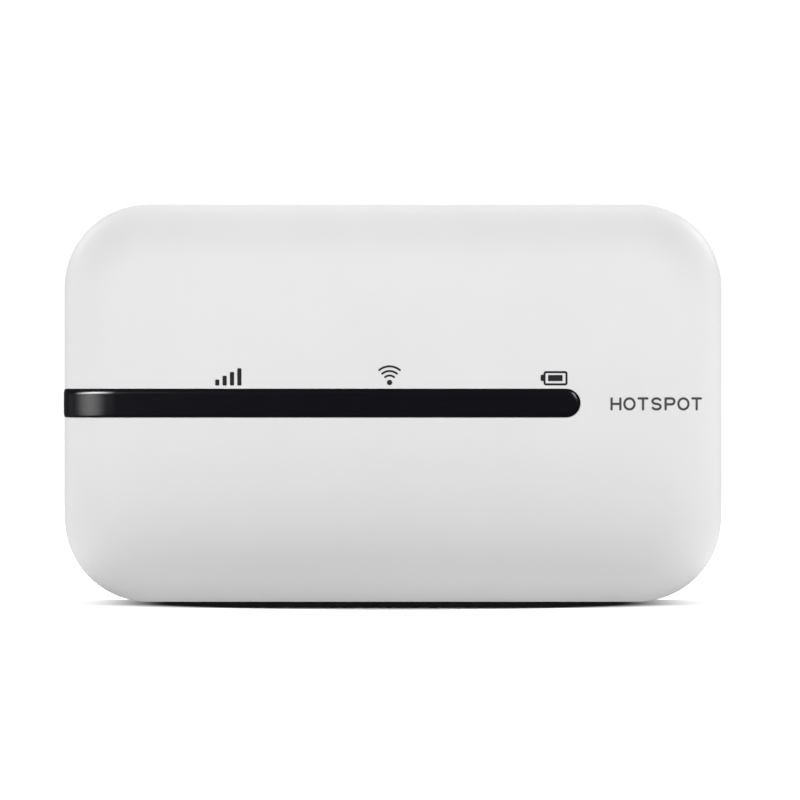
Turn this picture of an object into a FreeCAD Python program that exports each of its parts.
"""Pocket mobile hotspot, standing on its long lower edge.

X runs across the device, Y from the front (-) to the back (+), Z up from the surface it stands on.
Every piece is built about its own origin and placed from the dimension sheet; lengths in mm.
"""
import math
import os
import re

import FreeCAD
import Part
import Sketcher

Vector = FreeCAD.Vector

DIMENSIONS = {
    # Outer form
    "body_width": (98.0, "overall width"),
    "body_height": (59.3, "overall height as it stands"),
    "body_depth": (14.0, "overall front to back"),
    "corner_radius": (12.5, "corner radius seen from the front"),
    "front_roll": (8.0, "width of the rounded rim on the front face"),
    "front_roll_deep": (5.5, "depth of the rounded rim on the front face"),
    "front_roll_side": (4.2, "radius of that rim where it meets the side"),
    "back_roll": (4.0, "width of the rounded rim on the back cover"),
    "back_roll_deep": (3.2, "depth of the rounded rim on the back cover"),
    "back_roll_side": (2.7, "radius of that rim where it meets the side"),
    "wall": (1.2, "cover wall thickness"),
    "split_back": (3.4, "rear edge of the front cover, from mid-depth"),
    "split_gap": (0.08, "shadow gap between the covers"),
    "edge_break": (0.15, "broken edge on both sides of the shadow gap"),
    # Indicator strip
    "strip_height": (4.2, "height of the black strip"),
    "strip_reach": (27.65, "rounded end of the strip, right of centre"),
    "strip_proud": (0.3, "how far the strip stands out of the cover"),
    "strip_sink": (0.35, "how far the strip sits in its seat"),
    "strip_tape": (0.1, "adhesive under the strip"),
    "strip_side_end": (2.7, "where the strip stops on the side band"),
    "strip_edge_radius": (0.22, "crowned edge of the strip"),
    # Power button
    "button_long": (4.2, "power button length, front to back"),
    "button_high": (2.4, "power button height"),
    "button_back": (-0.1, "power button centre, front to back"),
    "button_gap": (0.12, "gap all round the power button"),
    "button_flange": (0.7, "retaining flange beyond the button on each side"),
    "flange_inset": (0.45, "flange face behind the inside of the wall"),
    "flange_thick": (0.6, "flange thickness"),
    "button_boss": (1.8, "boss diameter behind the flange"),
    "button_boss_long": (0.3, "boss length"),
    # Indicator lights
    "light_left": (-24.3, "signal light position"),
    "light_middle": (-0.5, "network light position"),
    "light_right": (24.0, "battery light position"),
    "guide_width": (2.2, "light guide diameter"),
    "guide_gap": (0.06, "gap round each light guide"),
    "baffle_width": (56.0, "light baffle width"),
    "baffle_height": (6.0, "light baffle height"),
    # Board stack, front to back
    "board_front": (-2.2, "front face of the board"),
    "board_thick": (1.0, "board thickness"),
    "board_width": (92.6, "board width"),
    "board_height": (54.0, "board height"),
    "board_radius": (9.5, "board corner radius"),
    "can_high": (1.7, "shield can height"),
    "can_wall": (0.2, "shield can sheet"),
    "can_radius": (0.8, "shield can corner radius"),
    "solder_gap": (0.05, "solder height under a chip"),
    # Fixings
    "screw_left": (-41.5, "left screws, from centre"),
    "screw_right": (43.8, "right screws, from centre"),
    "screw_left_up": (21.0, "left screws, above and below centre"),
    "screw_right_up": (18.0, "right screws, above and below centre"),
    "boss_diameter": (4.0, "screw boss diameter"),
    "pilot_diameter": (1.6, "hole in the boss"),
    "shank_diameter": (1.5, "screw shank"),
    "clear_diameter": (1.9, "clearance hole for the screw"),
    "head_diameter": (2.9, "screw head"),
    "head_thick": (0.7, "screw head thickness"),
    "drive_width": (0.9, "width of the cross recess"),
    # Middle frame and battery bay
    "frame_back": (3.2, "rear face of the frame plate"),
    "frame_thick": (1.0, "frame plate thickness"),
    "frame_gap": (1.3, "gap between the frame plate and the cover wall"),
    "bay_left": (-24.3, "inside of the battery bay, left"),
    "bay_right": (40.3, "inside of the battery bay, right"),
    "bay_height": (46.6, "inside height of the battery bay"),
    "bay_floor": (0.9, "rear face of the bay floor"),
    "bay_floor_thick": (0.6, "bay floor thickness"),
    "bay_wall": (0.8, "bay wall thickness"),
    "bay_radius": (0.8, "bay corner radius"),
    # Battery
    "battery_front": (1.02, "front face of the battery"),
    "battery_thick": (4.4, "battery thickness"),
    "battery_gap": (0.3, "gap between battery and bay"),
    "battery_radius": (1.6, "battery corner radius"),
    "cap_width": (2.6, "plastic end cap of the battery"),
    # Data and charging socket
    "port_wide": (8.94, "socket shell width"),
    "port_high": (3.16, "socket shell height"),
    "port_long": (7.35, "socket shell length"),
    "port_sheet": (0.3, "socket shell sheet"),
    "port_set_in": (0.25, "socket mouth behind the side of the body"),
    "port_gap": (0.2, "gap round the socket in the cover"),
    "tongue_wide": (6.69, "contact tongue width"),
    "tongue_thick": (0.7, "contact tongue thickness"),
    "contact_pitch": (0.5, "spacing of the socket contacts"),
    # Reset
    "reset_up": (-11.0, "reset hole, from centre"),
    "reset_back": (0.0, "reset hole, front to back"),
    "reset_hole": (1.2, "reset hole diameter"),
    # Card socket
    "card_across": (-35.5, "card socket centre"),
    "card_up": (-6.5, "card socket centre, from mid-height"),
    "card_wide": (15.0, "card socket width"),
    "card_tall": (13.6, "card socket height"),
    # Back cover
    "lip_thick": (0.9, "locating lip thickness"),
    "lip_gap": (0.12, "gap between the lip and the front cover"),
    "lip_deep": (1.0, "lip length in front of the split"),
    "tab_deep": (0.9, "snap tab length beyond the lip"),
}

doc = FreeCAD.newDocument("MobileHotspot")
sheet = doc.addObject("Spreadsheet::Sheet", "Dims")
for row, (alias, (size, note)) in enumerate(DIMENSIONS.items(), start=1):
    sheet.set("A%d" % row, note)
    sheet.set("B%d" % row, str(size))
    sheet.setAlias("B%d" % row, alias)
doc.recompute()

AXES = {"X": ("YZ_Plane", 1), "Y": ("XZ_Plane", -1), "Z": ("XY_Plane", 1)}
MIDDLE = "body_height / 2"
BOARD_BACK = "(board_front + board_thick)"
INSIDE_FRONT = "(-body_depth / 2 + wall)"
SIDE = "body_width / 2"
PARTS = []


# ---------------------------------------------------------------- building blocks

def link(formula):
    """A formula written in dimension names, as an expression on the sheet."""
    def name(match):
        word = match.group()
        return "Dims." + word if word in DIMENSIONS else word
    return re.sub(r"[a-z_]+", name, str(formula))


def value(formula):
    return float(sheet.evalExpression(link(formula)))


def place(piece, across="0", back="0", up=MIDDLE):
    for axis, formula in (("x", across), ("y", back), ("z", up)):
        piece.setExpression("Placement.Base." + axis, link(formula))


def new_body(label, across="0", back="0", up=MIDDLE):
    body = doc.addObject("PartDesign::Body", label)
    body.AllowCompound = True
    place(body, across, back, up)
    return body


def bind(sketch, kind, where, formula):
    """Add a dimension to a sketch and drive it from the sheet."""
    index = sketch.addConstraint(Sketcher.Constraint(kind, *where, value(formula)))
    sketch.setExpression("Constraints[%d]" % index, link(formula))


def pin_point(sketch, shape, point, x, y):
    bind(sketch, "DistanceX", (shape, point), x)
    bind(sketch, "DistanceY", (shape, point), y)


def polygon(sketch, corners):
    spots = [Vector(value(x), value(y), 0) for x, y in corners]
    lines = []
    for index, spot in enumerate(spots):
        following = spots[(index + 1) % len(spots)]
        lines.append(sketch.addGeometry(Part.LineSegment(spot, following)))
    for index, line in enumerate(lines):
        following = lines[(index + 1) % len(lines)]
        sketch.addConstraint(Sketcher.Constraint("Coincident", line, 2, following, 1))
        pin_point(sketch, line, 1, *corners[index])


def rectangle(sketch, wide, tall, across="0", up="0"):
    left = "%s - (%s) / 2" % (across, wide)
    right = "%s + (%s) / 2" % (across, wide)
    low = "%s - (%s) / 2" % (up, tall)
    high = "%s + (%s) / 2" % (up, tall)
    polygon(sketch, [(left, low), (right, low), (right, high), (left, high)])


def circle(sketch, diameter, across="0", up="0"):
    centre = Vector(value(across), value(up), 0)
    ring = sketch.addGeometry(Part.Circle(centre, Vector(0, 0, 1), value(diameter) / 2))
    bind(sketch, "Diameter", (ring,), diameter)
    pin_point(sketch, ring, 3, across, up)


def quarter_arc(sketch, x, y, radius, start):
    ring = Part.Circle(Vector(x, y, 0), Vector(0, 0, 1), radius)
    return sketch.addGeometry(Part.ArcOfCircle(ring, start, start + math.pi / 2))


def rounded_rectangle(sketch, wide, tall, radius, across="0", up="0"):
    x, y, r = value(across), value(up), value(radius)
    half_wide, half_tall = value(wide) / 2, value(tall) / 2
    in_x, in_y = half_wide - r, half_tall - r
    ends = [(-in_x, -half_tall, in_x, -half_tall), (half_wide, -in_y, half_wide, in_y),
            (in_x, half_tall, -in_x, half_tall), (-half_wide, in_y, -half_wide, -in_y)]
    lines = [sketch.addGeometry(Part.LineSegment(Vector(x + a, y + b, 0), Vector(x + c, y + d, 0)))
             for a, b, c, d in ends]
    centres = [(in_x, -in_y, -0.5), (in_x, in_y, 0), (-in_x, in_y, 0.5), (-in_x, -in_y, 1)]
    arcs = [quarter_arc(sketch, x + a, y + b, r, turn * math.pi) for a, b, turn in centres]
    for index, (line, arc) in enumerate(zip(lines, arcs)):
        sketch.addConstraint(Sketcher.Constraint("Tangent", line, 2, arc, 1))
        sketch.addConstraint(Sketcher.Constraint("Tangent", arc, 2, lines[(index + 1) % 4], 1))
        sketch.addConstraint(Sketcher.Constraint(("Horizontal", "Vertical")[index % 2], line))
    for arc in arcs[1:]:
        sketch.addConstraint(Sketcher.Constraint("Equal", arcs[0], arc))
    bind(sketch, "Radius", (arcs[0],), radius)
    bind(sketch, "DistanceY", (lines[0], 1), "%s - (%s) / 2" % (up, tall))
    bind(sketch, "DistanceX", (lines[1], 1), "%s + (%s) / 2" % (across, wide))
    bind(sketch, "DistanceY", (lines[2], 1), "%s + (%s) / 2" % (up, tall))
    bind(sketch, "DistanceX", (lines[3], 1), "%s - (%s) / 2" % (across, wide))


def slot(sketch, wide, tall, across="0", up="0"):
    """A straight slot with full round ends, along whichever side is longer."""
    upright = value(tall) > value(wide)
    long_side, short_side = (tall, wide) if upright else (wide, tall)
    x, y = value(across), value(up)
    r = value(short_side) / 2
    reach = value(long_side) / 2 - r
    turn = math.pi / 2 if upright else 0.0

    def spot(along, aside):
        if upright:
            return Vector(x - aside, y + along, 0)
        return Vector(x + along, y + aside, 0)

    lines = [sketch.addGeometry(Part.LineSegment(spot(-reach, -r), spot(reach, -r))),
             sketch.addGeometry(Part.LineSegment(spot(reach, r), spot(-reach, r)))]
    arcs = []
    for sign, start in ((1, -math.pi / 2), (-1, math.pi / 2)):
        ring = Part.Circle(spot(sign * reach, 0), Vector(0, 0, 1), r)
        arcs.append(sketch.addGeometry(Part.ArcOfCircle(ring, start + turn, start + turn + math.pi)))
    for index in (0, 1):
        sketch.addConstraint(Sketcher.Constraint("Tangent", lines[index], 2, arcs[index], 1))
        sketch.addConstraint(Sketcher.Constraint("Tangent", arcs[index], 2, lines[1 - index], 1))
    sketch.addConstraint(Sketcher.Constraint("Equal", arcs[0], arcs[1]))
    sketch.addConstraint(Sketcher.Constraint("Vertical" if upright else "Horizontal", lines[0]))
    bind(sketch, "Radius", (arcs[0],), "(%s) / 2" % short_side)
    end = "((%s) - (%s)) / 2" % (long_side, short_side)
    if upright:
        pin_point(sketch, arcs[0], 3, across, "%s + %s" % (up, end))
        bind(sketch, "DistanceY", (arcs[1], 3), "%s - %s" % (up, end))
    else:
        pin_point(sketch, arcs[0], 3, "%s + %s" % (across, end), up)
        bind(sketch, "DistanceX", (arcs[1], 3), "%s - %s" % (across, end))


def new_sketch(body, axis, start="0"):
    role, sense = AXES[axis]
    plane = [item for item in body.Origin.OriginFeatures if item.Role == role][0]
    sketch = body.newObject("Sketcher::SketchObject", body.Label + "_sketch")
    sketch.AttachmentSupport = [(plane, "")]
    sketch.MapMode = "FlatFace"
    sketch.setExpression("AttachmentOffset.Base.z", link("%d * (%s)" % (sense, start)))
    return sketch


def pad(body, axis, draw, start, length):
    """Add material along an axis, from start over length."""
    sketch = new_sketch(body, axis, start)
    draw(sketch)
    feature = body.newObject("PartDesign::Pad", body.Label + "_pad")
    feature.Profile = sketch
    feature.setExpression("Length", link(length))
    feature.Reversed = AXES[axis][1] < 0
    body.Tip = feature
    return feature


def pocket(body, axis, draw, start, length):
    """Take material away along an axis, from start over length."""
    sketch = new_sketch(body, axis, start)
    draw(sketch)
    feature = body.newObject("PartDesign::Pocket", body.Label + "_pocket")
    feature.Profile = sketch
    feature.setExpression("Length", link(length))
    feature.Reversed = AXES[axis][1] > 0
    body.Tip = feature
    return feature


def repeat(body, feature, axis, count, pitch):
    """Repeat the newest feature of a body along a base axis."""
    line = [item for item in body.Origin.OriginFeatures if item.Role == axis + "_Axis"][0]
    pattern = body.newObject("PartDesign::LinearPattern", body.Label + "_pattern")
    pattern.Originals = [feature]
    pattern.Direction = (line, [""])
    pattern.Occurrences = count
    pattern.setExpression("Length", link("(%s) * %d" % (pitch, count - 1)))
    body.Tip = pattern
    return pattern


def cut(label, base, *tools):
    piece = doc.addObject("Part::Cut", label)
    piece.Base = base
    piece.Tool = tools[0] if len(tools) == 1 else join(label + "_tools", *tools)
    return piece


def join(label, *pieces):
    piece = doc.addObject("Part::MultiFuse", label)
    piece.Shapes = list(pieces)
    return piece


def shared(label, *pieces):
    piece = doc.addObject("Part::MultiCommon", label)
    piece.Shapes = list(pieces)
    return piece


def keep(piece):
    PARTS.append(piece)
    return piece


def block(label, wide, deep, tall, across, back, up="0", radius=None):
    """A plain block; its front face is at back, and it runs towards the rear."""
    body = new_body(label, across, back, MIDDLE + " + (%s)" % up)
    if radius is None:
        pad(body, "Y", lambda s: rectangle(s, wide, tall), "0", deep)
    else:
        pad(body, "Y", lambda s: rounded_rectangle(s, wide, tall, radius), "0", deep)
    return body


def pebble(label, inset, deep, roll, facing=-1):
    """The body's rounded outline with a soft rim towards the front (-1) or the back (+1)."""
    face = "%d * (body_depth / 2 - (%s))" % (facing, inset)
    body = new_body(label, "0", face)
    if facing > 0:
        body.Placement.Rotation = FreeCAD.Rotation(Vector(0, 0, 1), 180)
    wide = "body_width - 2 * (%s)" % inset
    tall = "body_height - 2 * (%s)" % inset
    radius = "corner_radius - (%s)" % inset

    def outline(sketch):
        rounded_rectangle(sketch, wide, tall, radius)

    pad(body, "Y", outline, "0", deep)
    path = new_sketch(body, "Y")
    outline(path)
    corner = new_sketch(body, "X")
    roll_corner(corner, inset, roll, roll + "_deep", roll + "_side")
    doc.recompute()
    rim = body.newObject("PartDesign::SubtractivePipe", label + "_rim")
    rim.Profile = (corner, [""])
    rim.Spine = (path, ["Edge%d" % (number + 1) for number in range(8)])
    body.Tip = rim
    return body


def arc_between(sketch, centre, start, end):
    """An arc about a centre, anticlockwise from one point to another."""
    ring = Part.Circle(centre, Vector(0, 0, 1), (start - centre).Length)
    first = math.atan2(start.y - centre.y, start.x - centre.x)
    last = math.atan2(end.y - centre.y, end.x - centre.x)
    return sketch.addGeometry(Part.ArcOfCircle(ring, first, last))


def roll_corner(sketch, inset, roll, roll_deep, roll_side):
    """The sliver between a square corner and the two tangent arcs that replace it.

    The small arc meets the side of the body, the large one meets its flat face.
    """
    top = "(body_height / 2 - (%s))" % inset
    low = "(body_height / 2 - %s)" % roll
    deep = "(%s - (%s))" % (roll_deep, inset)
    small = "(%s - (%s))" % (roll_side, inset)
    r, d, y, z = value(small), value(deep), value(low), value(top)
    run = z - r - y
    large = (run ** 2 + d ** 2 - r ** 2) / (2 * (d - r))
    side_centre = Vector(d, z - r, 0)
    face_centre = Vector(large, y, 0)
    joint = side_centre + (side_centre - face_centre).normalize() * r
    side_arc = arc_between(sketch, side_centre, Vector(d, z, 0), joint)
    face_arc = arc_between(sketch, face_centre, joint, Vector(0, y, 0))
    sketch.addConstraint(Sketcher.Constraint("Tangent", side_arc, 2, face_arc, 1))
    bind(sketch, "Radius", (side_arc,), small)
    pin_point(sketch, side_arc, 3, deep, top + " - " + small)
    bind(sketch, "DistanceX", (side_arc, 1), deep)
    bind(sketch, "DistanceY", (face_arc, 3), low)
    pin_point(sketch, face_arc, 2, "0", low)
    spots = [Vector(0, y, 0), Vector(-1, y, 0), Vector(-1, z + 1, 0), Vector(d, z + 1, 0),
             Vector(d, z, 0)]
    lines = [sketch.addGeometry(Part.LineSegment(one, two)) for one, two in zip(spots, spots[1:])]
    sketch.addConstraint(Sketcher.Constraint("Coincident", face_arc, 2, lines[0], 1))
    sketch.addConstraint(Sketcher.Constraint("Coincident", lines[3], 2, side_arc, 1))
    for one, two in zip(lines, lines[1:]):
        sketch.addConstraint(Sketcher.Constraint("Coincident", one, 2, two, 1))
    pin_point(sketch, lines[0], 2, "-1", low)
    pin_point(sketch, lines[2], 1, "-1", top + " + 1")
    pin_point(sketch, lines[2], 2, deep, top + " + 1")


SCREWS = [("screw_left", "screw_left_up"), ("screw_left", "-screw_left_up"),
          ("screw_right", "screw_right_up"), ("screw_right", "-screw_right_up")]
LIGHTS = ("light_left", "light_middle", "light_right")


def at_screws(diameter):
    """A drawing of one circle at each of the four screws."""
    def draw(sketch):
        for across, up in SCREWS:
            circle(sketch, diameter, across, up)
    return draw


def at_lights(diameter):
    """A drawing of one circle at each of the three lights."""
    def draw(sketch):
        for across in LIGHTS:
            circle(sketch, diameter, across)
    return draw


def front_pebble(label, inset, rear="split_back"):
    deep = "%s + body_depth / 2 - (%s)" % (rear, inset)
    return pebble(label, inset, deep, "front_roll")


# ---------------------------------------------------------------- the strip and its seat

def strip_prism(label, grow="0"):
    """A bar with a round right-hand end, running out past the left side of the body."""
    body = new_body(label)
    wide = "(strip_reach + body_width / 2 + 6 + (%s))" % grow
    tall = "strip_height + 2 * (%s)" % grow
    centre = "strip_reach + (%s) - %s / 2" % (grow, wide)
    pad(body, "Y", lambda s: slot(s, wide, tall, centre), "-body_depth",
        "body_depth + strip_side_end + (%s)" % grow)
    return body


def side_window(label, grow="0"):
    """The same bar seen from the side, with its rear end rounded like the right-hand one."""
    body = new_body(label)
    deep = "(body_depth + strip_side_end + (%s))" % grow
    pad(body, "X", lambda s: slot(s, deep, "strip_height + 2 * (%s)" % grow,
                                  "strip_side_end + (%s) - %s / 2" % (grow, deep)),
        "-body_width", "2 * body_width")
    return body


def button_slot(label, grow):
    """The power button's outline, run along X through the left side."""
    body = new_body(label)
    pad(body, "X", lambda s: slot(s, "button_long + 2 * (%s)" % grow,
                                  "button_high + 2 * (%s)" % grow, "button_back"),
        "-body_width / 2 - 3", "6")
    return body


def edges_on_rim(shape, inset):
    """Outer edges of the strip: those where its sides meet the crowned outer face."""
    middle = value(MIDDLE)
    half = value("strip_height") / 2
    front = -value("body_depth") / 2 + inset
    left = -value("body_width") / 2 + inset
    found = []
    for number, edge in enumerate(shape.Edges, start=1):
        centre = edge.CenterOfMass
        on_side = abs(abs(centre.z - middle) - half) < 0.01
        low_end = edge.BoundBox
        on_front = low_end.YMin < front + 0.01
        on_left = low_end.XMin < left + 0.01
        if (on_side and (on_front or on_left)) or (centre.x > value("strip_reach - strip_height / 2")
                                                   and on_front):
            found.append((number, value("strip_edge_radius"), value("strip_edge_radius")))
    return found


skin = front_pebble("strip_skin", "-strip_proud")
skin_back = front_pebble("strip_skin_back", "strip_sink", "split_back + 1")
seat_floor = front_pebble("seat_floor", "strip_sink + strip_tape", "split_back + 1")
strip_bar = shared("strip_bar", strip_prism("strip_prism"), side_window("strip_window"))
strip_blank = cut("strip_blank", shared("strip_solid", strip_bar, skin), skin_back,
                  button_slot("strip_button_hole", "button_gap"))
doc.recompute()
strip = doc.addObject("Part::Fillet", "indicator_strip")
strip.Base = strip_blank
strip.Edges = edges_on_rim(strip_blank.Shape, -value("strip_proud"))
keep(strip)

tape_skin = front_pebble("tape_skin", "strip_sink", "split_back + 0.5")
light_bores = new_body("light_bores")
pad(light_bores, "Y", at_lights("guide_width + 2 * guide_gap"), "-body_depth / 2", "body_depth / 2")
tape = shared("tape_solid", strip_bar, tape_skin)
keep(cut("strip_adhesive", tape, seat_floor, light_bores,
         button_slot("tape_button_hole", "button_gap")))

# ---------------------------------------------------------------- front cover

outside = front_pebble("cover_outside", "0")
inside = front_pebble("cover_inside", "wall", "split_back + 1")
posts = new_body("cover_posts")
pad(posts, "Y", at_screws("boss_diameter"), "-body_depth / 2",
    "board_front + body_depth / 2")
RIBS = [("-22", 1), ("22", 1), ("-22", -1), ("22", -1), ("0", 1), ("0", -1)]


def draw_ribs(sketch):
    for across, side in RIBS:
        rectangle(sketch, "1.0", "2.6", across, "%d * (body_height / 2 - wall - 1.2)" % side)


pad(posts, "Y", draw_ribs, "-body_depth / 2", "board_front + body_depth / 2")
inner_posts = shared("inner_posts", posts, outside)
shell = join("cover_shell", cut("cover_wall", outside, inside), inner_posts)

seat = cut("strip_seat", shared("seat_bar", strip_prism("seat_prism", "0.04"),
                                side_window("seat_window", "0.04")), seat_floor)
pilots = new_body("screw_pilots")
pad(pilots, "Y", at_screws("pilot_diameter"), "board_front - 2.8", "3.8")
port_hole = new_body("port_hole")
PORT_BACK = "(board_front + board_thick + port_high / 2)"
pad(port_hole, "X", lambda s: slot(s, "port_high + 2 * port_gap", "port_wide + 2 * port_gap",
                                   PORT_BACK), "body_width / 2 - 3", "5")
pin_hole = new_body("pin_hole")
pad(pin_hole, "X", lambda s: circle(s, "reset_hole", "reset_back", "reset_up"),
    "body_width / 2 - 3", "5")
nail_notch = new_body("nail_notch", "-30", "split_back", "0")
pad(nail_notch, "Z", lambda s: slot(s, "11", "1.1"), "-1", "1.45")
cover_blank = cut("cover_blank", shell, seat, light_bores, pilots, port_hole, pin_hole, nail_notch,
                  button_slot("cover_button_hole", "button_gap"))
front_cover = doc.addObject("Part::Chamfer", "front_cover")
front_cover.Base = cover_blank


def rim_edges(shape, back, size):
    """Outer edges of a cover where it meets the split between front and back."""
    found = []
    for number, edge in enumerate(shape.Edges, start=1):
        box = edge.BoundBox
        flat = abs(box.YMin - back) < 0.01 and abs(box.YMax - back) < 0.01
        spot = edge.valueAt((edge.FirstParameter + edge.LastParameter) / 2)
        reach = outside_distance(spot.x, spot.z - value(MIDDLE))
        if flat and abs(reach) < 0.02:
            found.append((number, size, size))
    return found


def outside_distance(x, z):
    """Distance of a point from the body's outline; zero on it, negative inside."""
    radius = value("corner_radius")
    over_x = abs(x) - value("body_width") / 2 + radius
    over_z = abs(z) - value("body_height") / 2 + radius
    outer = math.hypot(max(over_x, 0), max(over_z, 0))
    return outer + min(max(over_x, over_z), 0) - radius


doc.recompute()
front_cover.Edges = rim_edges(cover_blank.Shape, value("split_back"), value("edge_break"))
keep(front_cover)

# ---------------------------------------------------------------- power button and its switch

button_skin = front_pebble("button_skin", "-strip_proud")
cap = shared("button_cap", button_slot("button_bar", "0"), button_skin)
flange_face = "(-body_width / 2 + wall + flange_inset)"
flange = new_body("button_flange_plate")
pad(flange, "X", lambda s: rounded_rectangle(s, "button_long + 2 * button_flange",
                                             "button_high + 2 * button_flange", "1.2",
                                             "button_back"), flange_face, "flange_thick")
pad(flange, "X", lambda s: slot(s, "button_long", "button_high", "button_back"),
    "-body_width / 2 + wall / 2", "wall / 2 + flange_inset + flange_thick")
pad(flange, "X", lambda s: circle(s, "button_boss", "button_back"),
    flange_face + " + flange_thick", "button_boss_long")
trimmed_cap = cut("trimmed_cap", cap, block("cap_trim", "20", "body_depth", "20",
                                            "-body_width / 2 + 10 + wall * 0.75",
                                            "-body_depth / 2"))
keep(join("power_button", trimmed_cap, flange))

boss_end = "(%s + flange_thick + button_boss_long)" % flange_face
power_plunger = new_body("power_plunger", boss_end, "button_back")
pad(power_plunger, "X", lambda s: circle(s, "1.2"), "0", "1.3")
keep(power_plunger)

switch_high = "(2 * (button_back - %s))" % BOARD_BACK
power_switch = new_body("power_switch", boss_end, "button_back")
pad(power_switch, "X", lambda s: rounded_rectangle(s, switch_high, "3.6", "0.2"), "0.55", "2.6")
pocket(power_switch, "X", lambda s: circle(s, "1.3"), "0.55", "1.2")
keep(power_switch)

# ---------------------------------------------------------------- reset plunger and its switch

reset_plunger = new_body("reset_plunger", "body_width / 2 - wall - 1.5", "reset_back",
                         MIDDLE + " + reset_up")
pad(reset_plunger, "X", lambda s: circle(s, "1.0"), "-1.2", "1.2")
keep(reset_plunger)
reset_switch = new_body("reset_switch", "body_width / 2 - wall - 1.5", "reset_back",
                        MIDDLE + " + reset_up")
reset_high = "(2 * (reset_back - %s))" % BOARD_BACK
pad(reset_switch, "X", lambda s: rounded_rectangle(s, reset_high, "3.4", "0.2"), "-3.0", "2.5")
pocket(reset_switch, "X", lambda s: circle(s, "1.1"), "-1.6", "1.2")
keep(reset_switch)

# ---------------------------------------------------------------- lights

baffle_front = INSIDE_FRONT
light_baffle = block("light_baffle", "baffle_width", "board_front - %s" % baffle_front,
                     "baffle_height", "0", baffle_front, "0", "1.0")
pocket(light_baffle, "Y", at_lights("guide_width + 2 * guide_gap"), "-1", "8")
pocket(light_baffle, "Y", lambda s: [rectangle(s, "12", "1.2", x, z) for x in ("-12.4", "11.75")
                                     for z in ("3.0", "-3.0")], "-1", "8")
keep(light_baffle)

light_guides = new_body("light_guides", "0", "-body_depth / 2 + strip_sink + 0.03")
guide_long = "(board_front - 0.8 - (-body_depth / 2 + strip_sink + 0.03))"
pad(light_guides, "Y", at_lights("guide_width"), "0", guide_long)
pocket(light_guides, "Y", at_lights("1.2"), guide_long + " - 0.35", "0.5")
keep(light_guides)

status_leds = new_body("status_leds", "0", "board_front")
pad(status_leds, "Y", lambda s: [rectangle(s, "1.6", "0.8", x) for x in LIGHTS], "-0.3", "0.3")
pad(status_leds, "Y", lambda s: [rectangle(s, "1.1", "0.75", x) for x in LIGHTS], "-0.6", "0.3")
keep(status_leds)

# ---------------------------------------------------------------- board

LEG_SPOTS = [("42.7", 1), ("42.7", -1), ("45.1", 1), ("45.1", -1)]
LEG_UP = "(port_wide / 2 - port_sheet / 2)"


def draw_leg_holes(sketch):
    for across, side in LEG_SPOTS:
        slot(sketch, "1.5", "0.7", across, "%d * %s" % (side, LEG_UP))


main_board = block("main_board", "board_width", "board_thick", "board_height", "0", "board_front",
                   "0", "board_radius")
pocket(main_board, "Y", at_screws("clear_diameter"), "-1", "3")
pocket(main_board, "Y", draw_leg_holes, "-1", "3")
pocket(main_board, "Y", lambda s: [slot(s, "7", "2.2", "-8", z) for z in
                                   ("board_height / 2", "-board_height / 2")], "-1", "3")
keep(main_board)


def chip(label, wide, tall, high, across, up, side=-1):
    """A moulded package standing on the board, front side (-1) or back side (+1)."""
    back = "board_front - solder_gap - (%s)" % high if side < 0 else BOARD_BACK + " + solder_gap"
    body = block(label, wide, high, tall, across, back, up)
    bevel = body.newObject("PartDesign::Chamfer", label + "_bevel")
    return body, bevel


def finish_chip(body, bevel, side, size):
    """Bevel the top edges of a package once its block exists."""
    doc.recompute()
    solid = body.Group[1]
    edges = []
    outer = solid.Shape.BoundBox.YMin if side < 0 else solid.Shape.BoundBox.YMax
    for number, edge in enumerate(solid.Shape.Edges, start=1):
        box = edge.BoundBox
        if abs(box.YMin - outer) < 1e-4 and abs(box.YMax - outer) < 1e-4:
            edges.append("Edge%d" % number)
    bevel.Base = (solid, edges)
    bevel.Size = size
    body.Tip = bevel


CHIPS = {
    "baseband_processor": ("12.0", "12.0", "0.9", "-27.0", "14.2"),
    "memory_chip": ("11.5", "9.0", "0.8", "-12.6", "16.2"),
    "power_manager": ("7.0", "7.0", "0.8", "-2.2", "9.4"),
    "rf_transceiver": ("8.0", "8.0", "0.8", "13.0", "14.2"),
    "wifi_chip": ("8.0", "8.0", "0.8", "12.0", "-14.0"),
}
for chip_name, (wide, tall, high, across, up) in CHIPS.items():
    body, bevel = chip(chip_name, wide, tall, high, across, up)
    finish_chip(body, bevel, -1, 0.12)
    keep(body)

power_amplifiers = new_body("power_amplifiers", "0", "board_front")
pad(power_amplifiers, "Y", lambda s: [rectangle(s, "5.0", "4.0", "26.5", z) for z in
                                      ("18.2", "10.4")], "-0.85", "0.8")
keep(power_amplifiers)

reference_crystals = new_body("reference_crystals", "0", "board_front")
CRYSTALS = [("19.8", "19.5"), ("19.0", "-10.0"), ("-18.8", "8.0")]
pad(reference_crystals, "Y", lambda s: [rounded_rectangle(s, "2.5", "2.0", "0.2", x, z)
                                        for x, z in CRYSTALS], "-0.65", "0.6")
pad(reference_crystals, "Y", lambda s: [rounded_rectangle(s, "2.2", "1.7", "0.2", x, z)
                                        for x, z in CRYSTALS], "-0.7", "0.1")
keep(reference_crystals)

power_inductors = new_body("power_inductors", "0", "board_front")
COILS = [("-36.0", "-10.0"), ("-30.5", "-10.0"), ("-25.0", "-10.0")]
pad(power_inductors, "Y", lambda s: [rounded_rectangle(s, "4.0", "4.0", "0.5", x, z)
                                     for x, z in COILS], "-1.85", "1.8")
keep(power_inductors)

ceramic_capacitors = new_body("ceramic_capacitors", "0", "board_front")
CAPACITORS = [("%.1f" % (-38 + 2.4 * step), up) for up in ("-14.6", "-17.2", "-19.8")
              for step in range(8)]
pad(ceramic_capacitors, "Y", lambda s: [rectangle(s, "1.6", "0.8", x, z) for x, z in CAPACITORS],
    "-0.85", "0.8")
keep(ceramic_capacitors)


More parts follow.
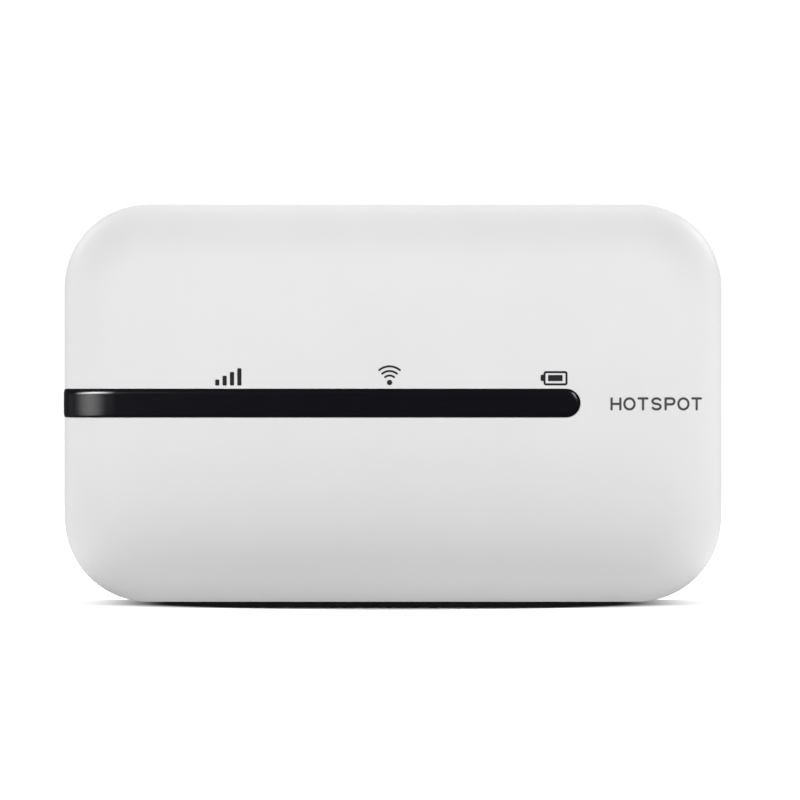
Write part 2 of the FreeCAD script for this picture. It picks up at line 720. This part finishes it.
def shield_can(label, wide, tall, across, up, holes):
    """A drawn sheet can over the chips, with a row of vent holes along its face."""
    body = block(label, wide, "can_high", tall, across, "board_front - can_high", up, "can_radius")
    inner_wide = "(%s) - 2 * can_wall" % wide
    inner_tall = "(%s) - 2 * can_wall" % tall
    pocket(body, "Y", lambda s: rounded_rectangle(s, inner_wide, inner_tall,
                                                  "can_radius - can_wall"), "can_wall", "can_high")
    first = "-(%s) / 2 + 2.2" % wide
    hole = pocket(body, "Y", lambda s: [circle(s, "0.9", first, z) for z in
                                        ("(%s) / 2 - 1.8" % tall, "-(%s) / 2 + 1.8" % tall)],
                  "-0.5", "1.0")
    repeat(body, hole, "X", holes, "((%s) - 4.4) / %d" % (wide, holes - 1))
    keep(body)


shield_can("baseband_shield", "37.0", "18.4", "-16.5", "14.2", 9)
shield_can("radio_shield", "24.0", "18.4", "18.5", "14.2", 6)
shield_can("wifi_shield", "19.0", "14.0", "15.5", "-12.4", 5)

pad_high = "(can_high - can_wall - solder_gap - 0.9)"
thermal_pad = block("thermal_pad", "10.0", pad_high, "10.0", "-27.0",
                    "board_front - can_high + can_wall", "14.2")
keep(thermal_pad)
heat_spreader = block("heat_spreader", "60.0", "0.2", "14.4", "-2.5",
                      "board_front - can_high - 0.2", "14.2", "1.5")
keep(heat_spreader)

# ---------------------------------------------------------------- data and charging socket

MOUTH = "(body_width / 2 - port_set_in)"
usb_shell = new_body("usb_shell", MOUTH, PORT_BACK)
pad(usb_shell, "X", lambda s: slot(s, "port_high", "port_wide"), "-port_long", "port_long")
pocket(usb_shell, "X", lambda s: slot(s, "port_high - 2 * port_sheet",
                                      "port_wide - 2 * port_sheet"),
       "-port_long + port_sheet", "port_long")


def draw_legs(sketch):
    for across, side in LEG_SPOTS:
        rectangle(sketch, "1.1", "port_sheet", "%s - %s" % (across, MOUTH),
                  "%d * %s" % (side, LEG_UP))


pad(usb_shell, "Y", draw_legs, "-port_high / 2 - 0.9", "port_high / 2 + 0.9")
keep(usb_shell)

usb_tongue = new_body("usb_tongue", MOUTH, PORT_BACK)
pad(usb_tongue, "X", lambda s: slot(s, "port_high - 2 * port_sheet", "port_wide - 2 * port_sheet"),
    "-port_long + port_sheet", "1.5")
pad(usb_tongue, "X", lambda s: rounded_rectangle(s, "tongue_thick", "tongue_wide", "0.2"),
    "-port_long + port_sheet", "port_long - port_sheet - 0.8")
keep(usb_tongue)

usb_contacts = new_body("usb_contacts", MOUTH, PORT_BACK)
contact_spots = [("%s * (tongue_thick / 2 + 0.03)" % sign) for sign in ("-1", "1")]
contact = pad(usb_contacts, "X", lambda s: [rectangle(s, "0.06", "0.25", y,
                                                      "-5.5 * contact_pitch")
                                            for y in contact_spots],
              "-port_long + port_sheet + 1.6", "port_long - port_sheet - 2.8")
repeat(usb_contacts, contact, "Z", 12, "contact_pitch")
keep(usb_contacts)

# ---------------------------------------------------------------- card socket

CARD_UP = MIDDLE + " + card_up"
sim_base = new_body("sim_base", "card_across", BOARD_BACK, CARD_UP)
pad(sim_base, "Y", lambda s: rectangle(s, "card_wide", "card_tall"), "0", "0.5")
pocket(sim_base, "Y", lambda s: [rectangle(s, "2.4", "2.0", x, z) for x in ("-3.8", "3.8")
                                 for z in ("-2.54", "0", "2.54")], "0.2", "1")
keep(sim_base)

sim_contacts = new_body("sim_contacts", "card_across", BOARD_BACK, CARD_UP)
pad(sim_contacts, "Y", lambda s: [rectangle(s, "1.8", "1.0", x, z) for x in ("-3.8", "3.8")
                                  for z in ("-2.54", "0", "2.54")], "0.2", "0.12")
pad(sim_contacts, "Y", lambda s: [rectangle(s, "0.6", "1.0", x, z) for x in ("-4.4", "4.4")
                                  for z in ("-2.54", "0", "2.54")], "0.2", "0.36")
keep(sim_contacts)

sim_cover = new_body("sim_cover", "card_across", BOARD_BACK, CARD_UP)
pad(sim_cover, "Y", lambda s: rectangle(s, "card_wide + 0.5", "card_tall - 1.6", "0", "0.8"),
    "0", "1.65")
pocket(sim_cover, "Y", lambda s: rectangle(s, "card_wide + 0.04", "card_tall + 4", "0", "-0.2"),
       "-0.1", "1.55")
pocket(sim_cover, "Y", lambda s: [rectangle(s, "4.0", "5.0", x, "1.0") for x in ("-3.9", "3.9")],
       "1", "2")
keep(sim_cover)

# ---------------------------------------------------------------- middle frame

FRAME_UP = "(body_height / 2 - wall - frame_gap)"
bay_wide = "(bay_right - bay_left)"
bay_mid = "((bay_right + bay_left) / 2)"
mid_frame = new_body("mid_frame", "0", "frame_back")
pad(mid_frame, "Y", lambda s: rounded_rectangle(s, "body_width - 2 * (wall + frame_gap)",
                                                "body_height - 2 * (wall + frame_gap)",
                                                "corner_radius - wall - frame_gap"),
    "-frame_thick", "frame_thick")
pad(mid_frame, "Y", lambda s: rounded_rectangle(s, bay_wide + " + 2 * bay_wall",
                                                "bay_height + 2 * bay_wall",
                                                "bay_radius + bay_wall", bay_mid),
    "bay_floor - bay_floor_thick - frame_back", "frame_back - bay_floor + bay_floor_thick")
pocket(mid_frame, "Y", lambda s: rounded_rectangle(s, bay_wide, "bay_height", "bay_radius",
                                                   bay_mid),
       "bay_floor - frame_back", "frame_back")
pad(mid_frame, "Y", at_screws("boss_diameter"), BOARD_BACK + " - frame_back",
    "frame_back - " + BOARD_BACK)
pocket(mid_frame, "Y", at_screws("clear_diameter"), "-8", "10")
pocket(mid_frame, "Y", lambda s: rounded_rectangle(s, "card_wide + 1.6", "card_tall + 5.0", "1.0",
                                                   "card_across", "card_up - 1.4"), "-2", "4")
pocket(mid_frame, "Y", lambda s: rectangle(s, "3.9", "11.6", "bay_left - 1.5", "11.0"), "-4", "6")
pocket(mid_frame, "Y", lambda s: rounded_rectangle(s, "2.4", "5.4", "0.6",
                                                   "-body_width / 2 + wall + frame_gap"), "-2", "4")
pocket(mid_frame, "Y", lambda s: [slot(s, "9.0", "16.0", x, "0") for x in ("20.0", "33.0")],
       "bay_floor - bay_floor_thick - frame_back - 1", "2.0")
keep(mid_frame)

screw_tip = "(board_front - 2.2)"
frame_screws = new_body("frame_screws", "0", "frame_back")
pad(frame_screws, "Y", at_screws("shank_diameter"), screw_tip + " - frame_back",
    "frame_back - " + screw_tip)
pad(frame_screws, "Y", at_screws("head_diameter"), "0", "head_thick")


def draw_crosses(sketch):
    for across, up in SCREWS:
        arm, half = "0.75", "drive_width / 4"
        spots = [("-" + arm, "-" + half), ("-" + half, "-" + half), ("-" + half, "-" + arm),
                 (half, "-" + arm), (half, "-" + half), (arm, "-" + half), (arm, half),
                 (half, half), (half, arm), ("-" + half, arm), ("-" + half, half),
                 ("-" + arm, half)]
        polygon(sketch, [("%s + %s" % (across, x), "%s + %s" % (up, z)) for x, z in spots])


pocket(frame_screws, "Y", draw_crosses, "head_thick - 0.4", "1")
keep(frame_screws)

bay_label = block("bay_label", "44.0", "0.08", "34.0", "-1.0", "bay_floor", "0", "1.0")
keep(bay_label)
moisture_dot = new_body("moisture_dot", "-33.0", "frame_back", MIDDLE + " - 21.5")
pad(moisture_dot, "Y", lambda s: circle(s, "4.0"), "0", "0.1")
keep(moisture_dot)

# ---------------------------------------------------------------- antennas and their contacts

ANTENNA_THICK = "0.15"
MARGIN = "((%s + bay_height / 2 + bay_wall) / 2)" % FRAME_UP


def comb(label, wide, tall, across, up, slots):
    """A flat metal antenna cut by slots from alternate sides."""
    body = block(label, wide, ANTENNA_THICK, tall, across, "frame_back", up)
    step = value(wide) / (slots + 1)
    for side in (1, -1):
        spots = ["%.2f" % (-value(wide) / 2 + step * (number + 1)) for number in range(slots)
                 if (number % 2 == 0) == (side > 0)]
        pocket(body, "Y", lambda s, spots=spots, side=side: [
            rectangle(s, "0.5", "(%s) * 0.72" % tall, x, "%d * (%s) * 0.2" % (side, tall))
            for x in spots], "-0.5", "1.5")
    keep(body)


comb("cellular_antenna", "50.0", "2.4", "-4.0", MARGIN, 11)
comb("diversity_antenna", "42.0", "2.4", "14.0", "-" + MARGIN, 9)

wifi_antennas = new_body("wifi_antennas", "0", "frame_back")
LEFT_F = [("-44.0", "8.0"), ("-28.5", "8.0"), ("-28.5", "9.4"), ("-33.0", "9.4"),
          ("-33.0", "12.6"), ("-28.5", "12.6"), ("-28.5", "14.0"), ("-42.6", "14.0"),
          ("-42.6", "12.6"), ("-34.4", "12.6"), ("-34.4", "9.4"), ("-44.0", "9.4")]
RIGHT_F = [("42.2", "6.0"), ("43.0", "6.0"), ("43.0", "9.0"), ("45.6", "9.0"), ("45.6", "9.8"),
           ("43.0", "9.8"), ("43.0", "13.2"), ("45.6", "13.2"), ("45.6", "14.0"),
           ("42.2", "14.0")]
pad(wifi_antennas, "Y", lambda s: [polygon(s, LEFT_F), polygon(s, RIGHT_F)], "0", ANTENNA_THICK)
keep(wifi_antennas)

SPRINGS = [("-12.0", "25.6"), ("18.0", "-25.6"), ("-38.0", "11.0"), ("44.2", "8.0")]
under_frame = "(frame_back - frame_thick - %s)" % BOARD_BACK
antenna_springs = new_body("antenna_springs", "0", BOARD_BACK)
pad(antenna_springs, "Y", lambda s: [rectangle(s, "1.0", "2.4", x, z) for x, z in SPRINGS],
    "0", "0.2")
pad(antenna_springs, "Y", lambda s: [rectangle(s, "1.0", "0.2", x, "%s + 1.1" % z)
                                     for x, z in SPRINGS], "0", under_frame + " - 0.05")
pad(antenna_springs, "Y", lambda s: [rectangle(s, "1.0", "2.4", x, z) for x, z in SPRINGS],
    under_frame + " - 0.25", "0.2")
keep(antenna_springs)

COAX = [("-29.5", "19.5"), ("-29.5", "-20.5")]
coax_ports = new_body("coax_ports", "0", BOARD_BACK)
pad(coax_ports, "Y", lambda s: [rectangle(s, "2.6", "2.6", x, z) for x, z in COAX], "0", "0.3")
pad(coax_ports, "Y", lambda s: [circle(s, "2.0", x, z) for x, z in COAX], "0.3", "0.9")
pocket(coax_ports, "Y", lambda s: [circle(s, "1.5", x, z) for x, z in COAX], "0.4", "2")
pad(coax_ports, "Y", lambda s: [circle(s, "0.4", x, z) for x, z in COAX], "0.3", "0.8")
keep(coax_ports)

# ---------------------------------------------------------------- battery and its contacts

battery_left = "(bay_left + battery_gap)"
battery_right = "(bay_right - battery_gap)"
battery_tall = "(bay_height - 2 * battery_gap)"
cell_left = "(%s + cap_width)" % battery_left
cell_wide = "(%s - %s)" % (battery_right, cell_left)
cell_mid = "(%s + %s / 2)" % (cell_left, cell_wide)
battery_cell = new_body("battery_cell", cell_mid, "battery_front")
pad(battery_cell, "Z", lambda s: rounded_rectangle(s, cell_wide, "battery_thick", "battery_radius",
                                                   "0", "battery_thick / 2"),
    "-%s / 2" % battery_tall, battery_tall)
pocket(battery_cell, "Z", lambda s: rectangle(s, "battery_radius + 0.4", "battery_thick + 1",
                                              "-%s / 2 + battery_radius / 2 - 0.2" % cell_wide,
                                              "battery_thick / 2"),
       "-%s / 2" % battery_tall, battery_tall)
pad(battery_cell, "Z", lambda s: rectangle(s, "battery_radius + 0.4", "battery_thick",
                                           "-%s / 2 + battery_radius / 2 + 0.2" % cell_wide,
                                           "battery_thick / 2"),
    "-%s / 2" % battery_tall, battery_tall)
keep(battery_cell)

cap_mid = "(%s + cap_width / 2)" % battery_left
battery_cap = new_body("battery_cap", cap_mid, "battery_front")
pad(battery_cap, "Y", lambda s: rectangle(s, "cap_width", battery_tall), "0", "battery_thick")
PADS = ("8.0", "11.0", "14.0")
pocket(battery_cap, "X", lambda s: [rectangle(s, "2.0", "1.8", "1.2", z) for z in PADS],
       "-cap_width / 2", "0.2")
keep(battery_cap)

battery_terminals = new_body("battery_terminals", cap_mid, "battery_front")
pad(battery_terminals, "X", lambda s: [rectangle(s, "2.0", "1.8", "1.2", z) for z in PADS],
    "-cap_width / 2", "0.2")
keep(battery_terminals)

battery_label = new_body("battery_label", cell_mid, "battery_front + battery_thick")
pad(battery_label, "Y", lambda s: rounded_rectangle(s, cell_wide + " - 5", battery_tall + " - 3",
                                                    "1.0", "-0.5"), "0", "0.06")
keep(battery_label)

connector_face = "(bay_left - 0.25)"
battery_connector = new_body("battery_connector", connector_face, BOARD_BACK, MIDDLE + " + 11.0")
pad(battery_connector, "Y", lambda s: rectangle(s, "2.6", "10.0", "-1.3"), "0",
    "3.1 - " + BOARD_BACK)
pocket(battery_connector, "Y", lambda s: [rectangle(s, "1.6", "1.6", "-0.8", z)
                                          for z in ("-3.0", "0", "3.0")], "1.2", "8")
keep(battery_connector)

battery_springs = new_body("battery_springs", connector_face, BOARD_BACK, MIDDLE + " + 11.0")
tip_reach = "(%s - 0.05 - %s)" % (battery_left, connector_face)
pad(battery_springs, "Z", lambda s: polygon(s, [("-1.5", "1.25"), ("-1.3", "1.25"),
                                                ("-1.3", "2.6"), (tip_reach + " - 0.2", "3.1"),
                                                (tip_reach, "3.1"), (tip_reach, "3.4"),
                                                ("-1.5", "2.8")]), "-3.5", "1.0")
repeat(battery_springs, battery_springs.Tip, "Z", 3, "3.0")
keep(battery_springs)

# ---------------------------------------------------------------- back cover

SPLIT = "(split_back + split_gap)"
back_outside = pebble("back_outside", "0", "body_depth / 2 - " + SPLIT, "back_roll", 1)
back_inside = pebble("back_inside", "wall", "body_depth / 2 - wall - %s + 1" % SPLIT, "back_roll", 1)


def ring(label, outer_inset, inner_inset, front, deep):
    """A band that follows the body's outline between two insets."""
    body = new_body(label, "0", front)
    pad(body, "Y", lambda s: rounded_rectangle(s, "body_width - 2 * (%s)" % outer_inset,
                                               "body_height - 2 * (%s)" % outer_inset,
                                               "corner_radius - (%s)" % outer_inset), "0", deep)
    pocket(body, "Y", lambda s: rounded_rectangle(s, "body_width - 2 * (%s)" % inner_inset,
                                                  "body_height - 2 * (%s)" % inner_inset,
                                                  "corner_radius - (%s)" % inner_inset),
           "-1", "(%s) + 2" % deep)
    return body


lip_inner = "wall + lip_gap + lip_thick"
lip_root = ring("lip_root", "wall - 0.2", lip_inner, SPLIT, "0.8")
lip = ring("lip", "wall + lip_gap", lip_inner, SPLIT + " - lip_deep", "lip_deep + 0.4")
tabs = new_body("lip_tabs", "0", SPLIT + " - lip_deep - tab_deep")
TABS = [("-30", 1), ("8", 1), ("30", 1), ("-18", -1), ("8", -1), ("30", -1)]


def draw_tabs(sketch):
    for across, side in TABS:
        rectangle(sketch, "5.0", "lip_thick - 0.1", across,
                  "%d * (body_height / 2 - wall - lip_gap - lip_thick / 2)" % side)


pad(tabs, "Y", draw_tabs, "0", "tab_deep + 0.4")
button_notch = new_body("button_notch", "-body_width / 2 + 2", "split_back - 2")
pad(button_notch, "Y", lambda s: rectangle(s, "3.6", "6.0"), "0", "2")
back_blank = cut("back_blank", join("back_solid", cut("back_wall", back_outside, back_inside),
                                    lip_root, lip, tabs), button_notch)
doc.recompute()
back_cover = doc.addObject("Part::Chamfer", "back_cover")
back_cover.Base = back_blank
back_cover.Edges = rim_edges(back_blank.Shape, value(SPLIT), value("edge_break"))
keep(back_cover)

foam_front = "(battery_front + battery_thick + 0.06 + 0.04)"
cover_foam = block("cover_foam", "40.0", "body_depth / 2 - wall - %s" % foam_front, "8.0", "8.0",
                   foam_front, "0", "1.0")
keep(cover_foam)

# ---------------------------------------------------------------- check and export

doc.recompute()
os.makedirs("parts", exist_ok=True)
for item in doc.Objects:
    if "Invalid" in item.State or "Error" in item.State:
        raise RuntimeError("%s did not build: %s" % (item.Label, item.State))
for piece in PARTS:
    shape = piece.Shape
    if shape.isNull() or not shape.isValid() or not shape.Solids:
        raise RuntimeError("%s has no valid solid" % piece.Label)
    shape.exportStep("parts/%s.step" % piece.Label)
print("%d parts exported" % len(PARTS))
